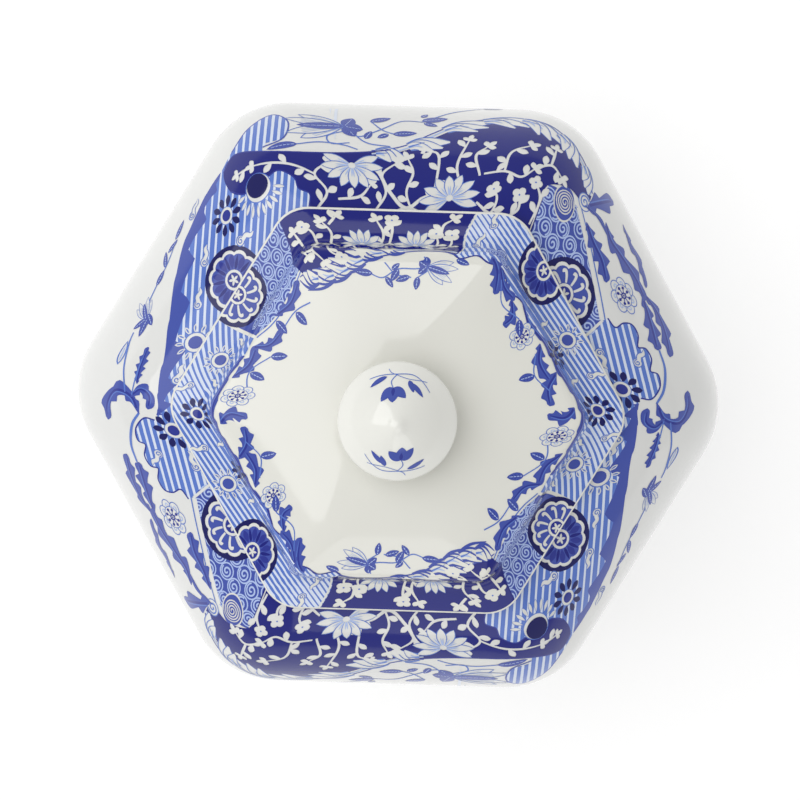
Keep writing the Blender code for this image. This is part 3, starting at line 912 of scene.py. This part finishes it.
def draw_dark_ground(page):
    """The bowl's dark ground, with white vines and flowers in it and a leafy band along its outer edge."""
    edge = [(-35.6, 44.6), (-33.4, 48.2), (-27, 49.2), (-13, 49.4), (-5, 50), (0, 51), (5, 53.3),
            (10.5, 55.4), (17, 56.4), (23, 56.6), (28.6, 55.4), (33.4, 51.4), (36.2, 46.4), (36.8, 42.6)]
    inner = [(-19.2, 36), (-18.4, 39), (-18.4, 41.6), (-20.6, 42.6), (-21.6, 44.6), (-24.6, 45.8),
             (-27, 44.2), (-31, 41), (-34, 41.2)]
    page.inward(DARK, inner + edge + [(35.4, 40.6), (32.4, 43.8), (28.6, 44.6), (27.4, 43), (24.4, 34)])
    page.line(DEEP, inner[1:], 0.3, 1, 1)
    page.line(WHITE, [(28, 44.4), (27, 42.6), (23.8, 33.6)], 0.32, 1, 1)

    # The dark ball at the left end, with rays over the stripes.
    for angle in range(-150, 30, 18):
        page.place([(LIGHT, petal(2.5, 0.9, 1.2, 8) + [3.1, 0]),
                    (WHITE, petal(2.3, 0.7, 1.2, 8) + [3.2, 0])], -28.6, 42.4, angle)
    page.place(ringed(2.95, 2.75, 26) + [(INK, disc(2.4, 24) + (-0.3, 0.35))], -28.6, 42.4)

    # The white leafy band along the outer edge.
    rim = page.trace(edge, 8)
    start = int(0.29 * len(rim))
    band = rim[start:] - (0, 0.5)
    page.add(WHITE, stroke(band, 2, 0.2, 0.5))
    page.add(MID, stroke(rim[start:] + (0, 0.35), 0.34, 0.8, 1))
    page.add(PALE, stroke(band - (0, 0.1), 0.45, 0.5, 0.7))
    tongues(page, band, first=0.02, last=0.86, count=7, length=9, width=3)
    page.add(DEEP, stroke(rim[:start + 6] + (0, 0.1), 0.3, 1, 1))
    page.place(ringed(1.9, 1.7, 20) + [(LIGHT, curl(1.3, 1.6, 0.34, 0, 30))], 35.4, 41.2)

    for points, leaf_size, end in (
        ([(-17, 38.4), (-15, 42), (-17.6, 45.4), (-15.4, 47.6)], 1.7, bud(2)),
        ([(-17.6, 45.4), (-22, 47), (-26, 47.2), (-29.6, 46.4)], 1.6, bud(2)),
        ([(-29.6, 46.4), (-32.6, 44.6)], 1.5, bud(1.8)),
        ([(-5.6, 38.6), (-3.6, 42), (-4.4, 45.6), (-1.8, 47.8)], 1.6, bud(2.2)),
        ([(1.6, 38.6), (0.4, 42.4), (1.6, 46), (0.6, 48.6)], 1.6, bud(2.2)),
        ([(14.6, 46), (13.8, 49.6), (16, 51.4)], 1.6, bud(2.2)),
        ([(14, 41), (16.6, 39), (18, 41.6), (17.4, 43.6)], 1.6, clover(2.2)),
        ([(18.4, 37.6), (22, 39.6), (22.4, 42.6)], 1.6, clover(2.2)),
        ([(15.4, 46.4), (19.4, 47), (22.6, 46), (25.2, 47.4)], 1.6, bud(2.2)),
        ([(19.4, 47), (20.6, 50.4), (24.4, 51.8)], 1.6, bud(2.2)),
        ([(25.2, 47.4), (28.6, 48.2), (30.6, 46)], 1.6, bud(2.2)),
        ([(28.6, 48.2), (29.6, 51)], 1.6, bud(1.9)),
        ([(5, 37.6), (6.6, 49), (4, 50.4)], 1.6, bud(1.6)),
        ([(10.6, 44.6), (10.2, 48), (12.4, 52.4)], 1.6, bud(2)),
        ([(24.4, 37), (26.4, 41.6), (25.6, 45)], 1.6, clover(2)),
        ([(-12.8, 40.8), (-8.6, 41.4), (-6.6, 43.6)], 1.6, bud(2)),
        ([(-13, 36.6), (-5, 35.6), (4, 36.4), (14, 35.8), (21, 37)], 1.5, bud(1.7)),
    ):
        page.draw(vine(page.unrolled(points), 0.62, leaf_size * 1.75, 3.4, end))
    page.line(WHITE, [(-9.6, 46.8), (-5.6, 46.4), (-3, 42.6), (0.4, 39.4), (4, 41.6), (8.6, 42)], 0.85)
    page.line(WHITE, [(8.6, 42), (4.6, 38.6), (0.4, 39.4), (-4.4, 37.4), (-9, 38.4), (-12.6, 36.4)], 0.75)
    page.place(lotus(6), -10.4, 47.2, 178)
    page.place(lotus(5.8), 8.8, 41.6, 12)


def draw_bowl_sprays(page):
    """Leaves and flowers on the white shoulder outside the border."""
    # Along the top edge.
    for points in ([(-21.4, 50.9), (-17, 51.4), (-12.4, 51), (-9.4, 50.2)],
                   [(-11.6, 54.4), (-8, 51.6), (-3, 50.9)],
                   [(-12, 53.6), (-15.4, 52.6), (-14.6, 51.2), (-11, 51.4)],
                   [(-11.6, 54.6), (-9.4, 52.6), (-5, 54), (-1, 55.6), (3.6, 55.6)],
                   [(-7, 55.4), (-4.4, 53.8), (-1.6, 53.2), (1, 53.4)],
                   [(3, 55.6), (9, 57.4), (15, 58.2)]):
        page.line(LIGHT, points, 0.34)
    page.place(tulip(11), -12.2, 54.4, 179)
    leaves(page, ((-21.2, 50.9, 180, 6.2, 1.9), (-7.2, 55.4, 24, 4.6, 2), (-2.6, 53.2, 8, 4.8, 1.9),
                  (-3.4, 53.2, -150, 2.6, 1.4), (3, 55.8, 16, 5.4, 2.5), (3.4, 55.4, -22, 3, 1.5),
                  (3, 56.4, 60, 2.2, 1.3), (-8, 52.2, 62, 3, 1.5), (15, 58.2, 4, 4.4, 1.7)))

    # Down the upper right side: a leafy scroll with an open flower.
    fronds(page, (
        ([(35.4, 40.6), (38, 38.4), (40.6, 34.6), (43.4, 30.6)], 1.1, 2),
        ([(36, 40.4), (38.6, 40.9), (41.4, 41)], 3.6, 2),
        ([(35.8, 37.4), (37.2, 33.6), (39, 30), (40, 25.8)], 3.4, 4),
        ([(39.8, 37.2), (40.8, 33.8), (43.2, 30.4), (46.2, 26), (48, 22)], 3.6, 4),
        ([(43.4, 36.6), (44.8, 33.2), (47, 29), (48.2, 24.4)], 2, 3),
        ([(47.6, 23.6), (50.6, 19.6), (52.4, 15.2), (53.2, 11.2)], 3, 3),
        ([(47.4, 23), (49.4, 17), (50.6, 12.6)], 3.4, 3),
    ))
    page.place(open_flower(4.1), 43.6, 23.2, -60)
    page.line(LIGHT, [(51, 12.6), (52.2, 9), (52, 5), (50.6, 2.4)], 0.6)

    # Round the right corner: a hooked leaf, a small lantern and a narrow leaf.
    fronds(page, (
        ([(50.6, 2.6), (52.2, -0.6), (55.4, -1.6), (57.2, 1.2), (57, 4.6)], 3.2, 3),
        ([(52.4, -0.6), (50.4, -2.2), (48.6, -1), (48.8, 1.6)], 2.6, 2),
        ([(51.2, -3.2), (50.6, -6.4), (49.2, -10.4)], 1.9, 5),
    ))
    page.line(LIGHT, [(52.2, -1), (51.6, -4), (50.4, -8)], 0.3)
    page.line(LIGHT, [(53.6, -1.4), (54, -6), (53.2, -10.6), (52.4, -12.8)], 0.4)
    page.place([(LIGHT, petal(5.4, 1.9)), (WHITE, petal(4.6, 1.2) + [0.4, 0]),
                (PALE, petal(3.4, 0.4) + [0.8, 0])], 55.4, -6.4, -104)

    # Down the lower right side.
    page.line(LIGHT, [(50.8, -13), (50.2, -17), (48.2, -22), (46.2, -26.4), (44.6, -31)], 0.34)
    page.place(tulip(5), 50, -15.4, -70)
    leaves(page, ((49.6, -16, 70, 4.4, 1.6), (49.6, -16.6, 118, 3.2, 1.5), (50, -15.6, 30, 3.4, 1.3),
                  (48.2, -22, -110, 3.6, 1.4), (46.6, -25.6, -70, 4, 1.3), (46.2, -28.4, -128, 3.4, 1.2),
                  (44.8, -31, -100, 4.4, 1.4)))


def open_flower(size):
    """An oval blossom with scrolled petals round a star of stamens."""
    squash = np.array([1, 0.78])
    shapes = []
    for i in range(7):
        for tone, radius in ((LIGHT, 0.36), (WHITE, 0.31)):
            lobe = disc(size * radius, 14) + moved((size * 0.64, 0), i * 51)
            shapes.append((tone, lobe * squash))
        eye = moved(curl(size * 0.2, 1.1, size * 0.06, 90, 14), i * 51) + moved((size * 0.66, 0), i * 51)
        shapes.append((PALE, eye * squash))
    shapes += [(LIGHT, disc(size * 0.6, 22, 0.78)), (WHITE, disc(size * 0.56, 22, 0.78))]
    for i in range(8):
        dot = moved((size * 0.42, 0), i * 45 + 10) * squash
        shapes.append((MID, stroke(np.array([(0, 0), dot]), size * 0.05, 1, 1)))
        shapes.append((DEEP, disc(size * 0.085, 8) + dot))
    shapes += [(DEEP, disc(size * 0.17, 12)), (WHITE, disc(size * 0.09, 10))]
    return shapes + [(MID, disc(size * 0.05, 8))]


class LidPage(Print):
    """The lid's print, drawn at (t, depth): sides clockwise, and millimetres in from its outer edge."""

    def unrolled(self, points):
        return np.array([(t * self.side, self.high - depth) for t, depth in points])

    def place(self, shapes, t, depth, turn=0):
        """Shapes drawn at (t, depth), turned on the unrolled skin."""
        self.stick(group(shapes, turn), t, self.high - depth)


def draw_lid(page):
    """The lid's border on its brim and the edge of its dome, in step with the bowl's."""
    inner = [(0.76, 11.4), (0.82, 12.8), (0.90, 12), (0.98, 13.2), (1.08, 12.2), (1.18, 13.2), (1.28, 11.8),
             (1.40, 12.8), (1.54, 11.6), (1.70, 11.8), (1.86, 11), (2.02, 11.8), (2.20, 11.4),
             (2.34, 12.2)]
    scrolls_edge = [(2.46, 12), (2.56, 13.2), (2.68, 13.6), (2.80, 13.2), (2.92, 12.4)]
    page.outward(LIGHT, inner + scrolls_edge[:2])
    stripes(page, (8, 78), (-42, 42), (0.76, 2.5), pitch=1.16, width=0.46, lean=0.03, bend=0.75)

    page.outward(MID, [(2.45, -0.5), (2.44, 4), (2.45, 8)] + scrolls_edge + [(3, 4)])
    pitch, row_pitch = 0.078, 2.55
    for row in range(6):
        for column in range(8):
            t = 2.40 + pitch * column + pitch / 2 * (row % 2)
            depth = 0.8 + row_pitch * row
            if 2.48 < t < 2.97:
                page.place(whorl(1.5), t, depth, 40 * column)
    page.line(WHITE, [(2.46, 13), (2.445, 8), (2.435, 4), (2.44, -1)], 0.6, 1, 1)
    for t, depth in ((0.98, 9.6), (1.03, 7.6), (1.06, 10.2)):
        page.place([(MID, disc(1.5, 18))] + whorl(1.3), t, depth, 30)

    # The dome inside the grounds is white again.
    page.inward(WHITE, inner + scrolls_edge)
    page.add(LIGHT, stroke(page.trace(scrolls_edge) - (0, 0.5), 0.25, 1, 1))
    page.line(DEEP, inner, 0.3, 1, 1)
    page.draw(frond(page.trace(inner[6:], 8), 2.6, 10, (1, 0.4)))

    page.place(medallion(5.2, False), 1.25, 1, 10)
    page.place(medallion(5.4, True), 2.57, 0.6, 20)
    for t, depth, turn in ((1.96, 4.6, 12), (1.62, 8.8, 0)):
        page.place(daisy(3.3), t, depth, turn)
    for t, depth, turn in ((1.58, 3.4, 0), (2.26, 4.6, 15)):
        page.place(sun(3.3), t, depth, turn)
    for t, depth, turn in ((0.88, 6.6, 70), (1.46, 8, 90), (1.78, 2.6, 80), (1.80, 8, 100), (2.12, 7.8, 60),
                           (2.10, 2, 120), (2.38, 8.4, 70), (0.92, 2.2, 100)):
        page.place(cloud(1.45), t, depth, turn)

    draw_lid_dark_ground(page)
    draw_lid_sprays(page)


def draw_lid_dark_ground(page):
    """The lid's dark ground, with white vines and flowers in it and a leafy band along its inner edge."""
    edge = [(-0.06, 16.5), (0.034, 17.4), (0.138, 16.6), (0.241, 14.8), (0.344, 13), (0.464, 11.8),
            (0.585, 10.9), (0.705, 10.8), (0.791, 11.8)]
    page.outward(DARK, [(-0.06, -0.5), (-0.08, 4), (-0.12, 8), (-0.1, 13)] + edge
                 + [(0.813, 8), (0.8, 4), (0.817, -0.5)])
    page.line(WHITE, [(0.804, 11.6), (0.821, 8), (0.808, 4), (0.826, -1)], 0.3, 1, 1)
    rim = page.trace(edge, 8)
    band = rim + (0, 0.45)
    page.add(WHITE, stroke(band, 1.7, 0.5, 0.3))
    page.add(MID, stroke(rim - (0, 0.3), 0.3, 1, 0.8))
    page.add(PALE, stroke(band, 0.35, 0.8, 0.5))
    tongues(page, band[::-1], first=0.34, last=0.96, count=6, length=6.6, width=2, tone=MID, outline=1.5)

    page.line(WHITE, [(0.163, 10.6), (0.215, 9.4), (0.288, 7.6), (0.361, 9.4), (0.43, 7), (0.499, 9),
                      (0.563, 7.6)], 0.62)
    for points, end in (
        ([(0.172, 9.6), (0.129, 7.6), (0.146, 4.6), (0.12, 2.6)], bud(1.6)),
        ([(0.12, 9), (0.06, 8), (0.052, 4.6), (0.017, 3.2)], clover(1.6)),
        ([(0.146, 3), (0.189, 1.4)], bud(1.6)),
        ([(0.06, 8), (0.017, 11), (0.052, 14)], bud(1.7)),
        ([(0.103, 9.4), (0.112, 12), (0.163, 13.2)], clover(1.6)),
        ([(0.378, 8), (0.404, 4.6), (0.378, 2)], bud(1.6)),
        ([(0.43, 7), (0.447, 4), (0.447, 1.8)], clover(1.6)),
        ([(0.241, 9), (0.267, 11.6)], bud(1.6)),
        ([(0.413, 8.6), (0.421, 10.6)], bud(1.4)),
        ([(0.568, 8), (0.636, 8.6), (0.679, 6.6), (0.662, 4.2)], clover(1.7)),
        ([(0.636, 8.6), (0.714, 9.2), (0.748, 6.6), (0.74, 4.4)], clover(1.7)),
        ([(0.688, 5), (0.688, 2.6), (0.722, 1.4)], bud(1.6)),
        ([(-0.04, 9), (-0.02, 12)], bud(1.6)),
        ([(-0.02, 7), (-0.03, 3.6)], bud(1.5)),
    ):
        page.draw(vine(page.unrolled(points), 0.46, 1.9, 2.4, end))
    page.place(lotus(4.3), 0.29, 7.4, 2)
    page.place(lotus(4.3), 0.565, 7.4, -4)


def draw_lid_sprays(page):
    """Leaves and flowers on the white dome inside the border."""
    # Small sprays that hang on to the dome from the dark ground.
    for points in ([(0.30, 16.2), (0.38, 17), (0.48, 15.2), (0.60, 15), (0.72, 13.4)],
                   [(0.40, 14), (0.46, 16.2), (0.56, 16.8)], [(0.62, 12.6), (0.66, 15), (0.60, 16.8)]):
        page.line(LIGHT, points, 0.24, 1, 1)
    page.place(tulip(5.6), 0.645, 14.6, -16)
    leaves(page, ((0.32, 16.2, 176, 3.4, 1.5), (0.40, 16.8, -60, 2.4, 1.2), (0.48, 15.2, -120, 2.8, 1.4),
                  (0.55, 16.6, -160, 2.8, 1.3), (0.60, 16.6, -90, 2.6, 1.3), (0.44, 15.4, 40, 2, 1),
                  (0.80, 13, -20, 3, 1.2)))

    # Leafy scrolls and open flowers along the dome's edge on the right.
    for points, width, lobes in (
        ([(0.98, 11.9), (1.06, 13.7), (1.12, 16.1)], 2.6, 3),
        ([(1.04, 12.3), (1.14, 13.7), (1.24, 13.1)], 2.2, 3),
        ([(1.22, 13.5), (1.30, 15.1), (1.30, 17.5)], 2.2, 3),
        ([(1.52, 12.7), (1.62, 14.7), (1.76, 14.5)], 2.4, 3),
        ([(1.70, 12.5), (1.78, 15.5), (1.90, 16.9)], 2.2, 3),
        ([(1.92, 12.7), (1.98, 15.1), (1.96, 17.9)], 2.4, 3),
        ([(2.20, 12.5), (2.30, 14.1), (2.42, 13.5)], 2.4, 3),
        ([(2.40, 12.7), (2.46, 15.5), (2.58, 16.3)], 2, 3),
        ([(2.62, 13.5), (2.74, 14.7), (2.86, 13.7)], 2.2, 3),
    ):
        page.draw(frond(page.trace(points), width, lobes))
    for points in ([(1.10, 13.5), (1.2, 15.7), (1.34, 14.1)], [(1.56, 14.5), (1.68, 16.7), (1.8, 15.5)],
                   [(2.12, 16.9), (2.26, 14.9), (2.4, 16.9)], [(2.58, 16.1), (2.72, 16.3), (2.84, 17.9)]):
        page.line(LIGHT, points, 0.24, 1, 1)
    page.place(open_flower(3), 1.43, 15.2, -80)
    page.place(open_flower(3), 2.10, 15.4, -80)
    for t, depth, turn in ((1.34, 14.1, -30), (1.68, 16.7, -90), (2.26, 15.1, -100), (2.40, 16.9, -60),
                           (2.72, 16.5, -90), (2.60, 14.1, -100)):
        page.place(leaf(3.2, 1.7), t, depth, turn)


def draw_knob(page):
    """One flower on each side of the knob."""
    page.place(sprig(4.3), 0.2, 8.2, 178)


# ---------------------------------------------------------------- materials

def set_inputs(node, **values):
    """Sets a node's inputs; an underscore in a name stands for a space."""
    for name, value in values.items():
        node.inputs[name.replace("_", " ")].default_value = value
    return node


def ramp_between(nodes, low, high):
    """A colour ramp between two stops (position, colour)."""
    ramp = nodes.new("ShaderNodeValToRGB")
    for stop, (position, colour) in zip(ramp.color_ramp.elements, (low, high)):
        stop.position = position
        stop.color = (*colour, 1)
    return ramp


def gloss(name, roughness, ior, coat):
    """A glassy material with a gentle orange peel, with its shader and its texture coordinates."""
    material = bpy.data.materials.new(name)
    material.use_nodes = True
    nodes, links = material.node_tree.nodes, material.node_tree.links
    shader = set_inputs(nodes["Principled BSDF"], Roughness=roughness, IOR=ior, Coat_Weight=coat,
                        Coat_Roughness=0.04)
    place = nodes.new("ShaderNodeTexCoord")
    peel = set_inputs(nodes.new("ShaderNodeTexNoise"), Scale=160.0, Detail=1.0)
    bump = set_inputs(nodes.new("ShaderNodeBump"), Strength=0.02, Distance=0.0004)
    links.new(place.outputs["Object"], peel.inputs["Vector"])
    links.new(peel.outputs["Fac"], bump.inputs["Height"])
    links.new(bump.outputs["Normal"], shader.inputs["Normal"])
    return material, shader, place


def glaze(name, colour):
    """Thick glossy glaze with a faint drift in its colour."""
    material, shader, place = gloss(name, roughness=0.07, ior=1.5, coat=0.35)
    nodes, links = material.node_tree.nodes, material.node_tree.links
    drift = set_inputs(nodes.new("ShaderNodeTexNoise"), Scale=22.0, Detail=3.0)
    ramp = ramp_between(nodes, (0.3, [c * 0.965 for c in colour]), (0.7, colour))
    links.new(place.outputs["Object"], drift.inputs["Vector"])
    links.new(drift.outputs["Fac"], ramp.inputs["Fac"])
    links.new(ramp.outputs["Color"], shader.inputs["Base Color"])
    return material


def ink(name, tone):
    """Cobalt printed under the glaze: its tone, with the glaze's gloss over it."""
    material, shader, _ = gloss(name, roughness=0.09, ior=1.4, coat=0.15)
    set_inputs(shader, Base_Color=(*TONES[tone], 1))
    return material


# ---------------------------------------------------------------- scene

def area_light(name, place, target, size, power):
    data = bpy.data.lights.new(name, "AREA")
    data.shape = "RECTANGLE"
    data.size, data.size_y = size
    data.energy = power
    item = new_object(name, data)
    item.location = place
    item.rotation_euler = (Vector(target) - Vector(place)).to_track_quat("-Z", "Y").to_euler()
    return item


def studio():
    """A white floor, a sky that is darker overhead, a soft light on the left and a weak one in front."""
    bpy.ops.mesh.primitive_plane_add(size=12)
    floor = bpy.context.object
    floor.name = "studio_floor"
    paper = bpy.data.materials.new("white_paper")
    paper.use_nodes = True
    set_inputs(paper.node_tree.nodes["Principled BSDF"], Base_Color=(0.55, 0.55, 0.55, 1), Roughness=0.9,
               Emission_Color=(1, 1, 1, 1), Emission_Strength=0.52)
    floor.data.materials.append(paper)
    world = bpy.data.worlds.new("studio_world")
    world.use_nodes = True
    nodes, links = world.node_tree.nodes, world.node_tree.links
    heading = nodes.new("ShaderNodeTexCoord")
    parts = nodes.new("ShaderNodeSeparateXYZ")
    ramp = ramp_between(nodes, (0.35, (1, 1, 1)), (0.95, (0.75, 0.75, 0.75)))
    ramp.color_ramp.interpolation = "EASE"
    links.new(heading.outputs["Generated"], parts.inputs["Vector"])
    links.new(parts.outputs["Z"], ramp.inputs["Fac"])
    links.new(ramp.outputs["Color"], nodes["Background"].inputs["Color"])
    set_inputs(nodes["Background"], Strength=0.60)
    bpy.context.scene.world = world
    area_light("key", (-0.75, 0.35, 1.3), (0, 0, 0.05), (1.7, 1.7), 15.0)
    area_light("fill", (0.3, -1.2, 1.0), (0, 0, 0.05), (1.2, 1.2), 4.0)


def camera():
    tilt, roll, distance = math.radians(5.6), math.radians(1.75), 0.9
    target = Vector((0.0004, 0.0003, 0.06))
    data = bpy.data.cameras.new("view")
    data.sensor_width = 36
    data.lens = 203.7
    data.clip_start = 0.05
    item = new_object("view", data)
    item.location = target + distance * Vector((0, math.sin(tilt), math.cos(tilt)))
    item.rotation_euler = (Matrix.Rotation(-tilt, 3, "X") @ Matrix.Rotation(roll, 3, "Z")).to_euler()
    bpy.context.scene.camera = item


# ---------------------------------------------------------------- build

# One white glaze in three copies, lighter the higher the part: the bowl's copy is painted darker and the
# knob's painted lighter than the lid's, as painted shade and painted light.
cool_bowl_glaze_painted_darker = glaze("bowl_glaze", (0.725, 0.728, 0.712))
white = glaze("lid_glaze", (0.755, 0.752, 0.695))
warm_knob_glaze_painted_lighter = glaze("knob_glaze", (0.80, 0.80, 0.75))

for name, stations, material, body, node, slot in (
    ("bowl_glazed", bowl_stations(), cool_bowl_glaze_painted_darker, "bowl", "bowl", "printed_glaze"),
    ("lid_glazed", lid_stations(), white, "lid", "lid", "printed_glaze"),
    ("knob_glazed", knob_stations(), warm_knob_glaze_painted_lighter, "lid", "lid_knob", "knob_glaze"),
):
    piece = shell(name, stations)
    piece.data.materials.append(material)
    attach(piece, body)
    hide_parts(node)

inks = [ink("cobalt_" + tone, tone) for tone in TONES]

bowl_skin = Skin(list(reversed(outside_of_bowl())))
lid_skin = Skin(list(reversed(outside_of_lid()[LID_PRINT_START:])))
knob_skin = Skin(knob_stations())
bowl_page = Print("bowl_print", bowl_skin, low=2.0, high=46.0)
lid_page = LidPage("lid_print", lid_skin, low=6.0, high=lid_skin.length - 0.85)
knob_page = Print("knob_print", knob_skin, low=1.5, high=14.0)

for page, draw, grid, body, slot in (
    (bowl_page, draw_bowl, (1.1, 1.0), "bowl", "printed_glaze"),
    (lid_page, draw_lid, (0.8, 0.36), "lid", "printed_glaze"),
    (knob_page, draw_knob, (0.7, 0.6), "lid", "knob_glaze"),
):
    draw(page)
    piece = page.build(inks, *grid)
    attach(piece, body)

studio()
camera()
bpy.context.scene.view_settings.view_transform = "Standard"
